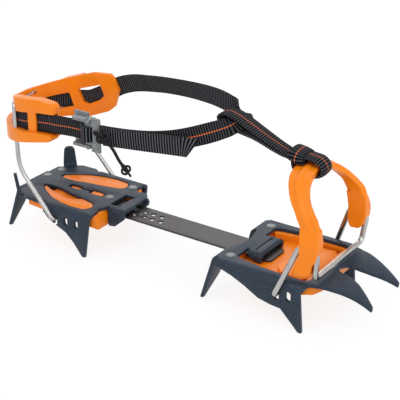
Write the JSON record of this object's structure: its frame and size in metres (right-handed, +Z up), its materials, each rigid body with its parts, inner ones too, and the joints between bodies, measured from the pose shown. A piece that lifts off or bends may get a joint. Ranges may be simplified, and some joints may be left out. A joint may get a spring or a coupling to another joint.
{
  "type": "mountaineering crampon",
  "caption": "Strap-on mountaineering crampon: pressed steel toe and heel frames with points, sliding link bar, wire bails, plastic toe cage and heel cup, webbing harness.",
  "frame": {"origin": "on the centre line in the plane of the boot's sole, just behind the front frame", "axes": "+X towards the toe, +Y towards the inner side of the foot, +Z up from the sole plane"},
  "size_m": [0.3322, 0.0934, 0.1424],
  "materials": {
    "frame_steel": "satin",
    "orange_plastic": "satin",
    "bright_steel": "polished",
    "bar_steel": "brushed",
    "buckle_metal": "satin",
    "webbing": "woven",
    "cord_cloth": "braided",
    "black_plastic": "matte"
  },
  "bodies": {
    "front": {"front_frame": "frame_steel", "front_antiball_plate": "orange_plastic", "front_rivets": "bright_steel", "link_bar": "bar_steel"},
    "toe_bail": {"toe_bail_wire": "bright_steel", "toe_cage": "orange_plastic"},
    "toe_strap": {"toe_loop": "webbing"},
    "heel": {"heel_frame": "frame_steel", "heel_antiball_plate": "orange_plastic", "heel_rivets": "bright_steel", "latch_pivot_pin": "bright_steel", "latch_spring": "bright_steel"},
    "latch": {"adjuster_latch": "bright_steel"},
    "heel_bail": {"heel_bail_wire": "bright_steel", "heel_cup": "orange_plastic", "heel_strap": "webbing"},
    "strap": {"strap_far_rear": "webbing", "strap_far_front": "webbing", "strap_near_run": "webbing", "strap_near_rear": "webbing", "strap_tail": "webbing", "buckle_base": "buckle_metal"},
    "strap_front": {"strap_fold": "webbing"},
    "buckle": {"buckle_frame": "buckle_metal", "pull_cord": "cord_cloth", "cord_end": "black_plastic"}
  },
  "joints": [
    {"name": "toe_bail_swing", "type": "hinge", "parent": "front", "child": "toe_bail", "pos_m": [0.0635, 0, -0.011], "axis": [0, -1, 0], "range_deg": [0, 30]},
    {"name": "toe_strap_swing", "type": "hinge", "parent": "toe_bail", "child": "toe_strap", "pos_m": [0.063, 0, 0.0736], "axis": [0, -1, 0], "range_deg": [-30, 0], "deforming": ["toe_loop"]},
    {"name": "heel_slide", "type": "slide", "parent": "front", "child": "heel", "axis": [1, 0, 0], "range_m": [-0.0246, 0.0328], "deforming": ["adjuster_latch"]},
    {"name": "latch_lift", "type": "hinge", "parent": "heel", "child": "latch", "pos_m": [-0.112, 0, -0.00435], "axis": [0, -1, 0], "range_deg": [0, 18]},
    {"name": "heel_bail_swing", "type": "hinge", "parent": "heel", "child": "heel_bail", "pos_m": [-0.1415, 0, -0.01], "axis": [0, -1, 0], "range_deg": [0, 30]},
    {"name": "strap_swing", "type": "hinge", "parent": "heel_bail", "child": "strap", "pos_m": [-0.142, 0, 0.0746], "axis": [0, -1, 0], "range_deg": [-30, 0], "deforming": ["strap_far_rear", "strap_near_rear"]},
    {"name": "strap_take_up", "type": "slide", "parent": "strap", "child": "strap_front", "axis": [1, 0, 0], "range_m": [-0.0328, 0.0246], "deforming": ["strap_far_front", "strap_near_run"]},
    {"name": "buckle_tilt", "type": "hinge", "parent": "strap", "child": "buckle", "pos_m": [-0.102, -0.042, 0.0726], "axis": [0, 0, -1], "range_deg": [0, 40]}
  ],
  "couplings": [
    {"joint": "heel_bail_swing", "follows": "toe_bail_swing", "ratio": 1},
    {"joint": "strap_swing", "follows": "toe_bail_swing", "ratio": -1},
    {"joint": "toe_strap_swing", "follows": "toe_bail_swing", "ratio": -1},
    {"joint": "strap_take_up", "follows": "heel_slide", "ratio": -1}
  ]
}
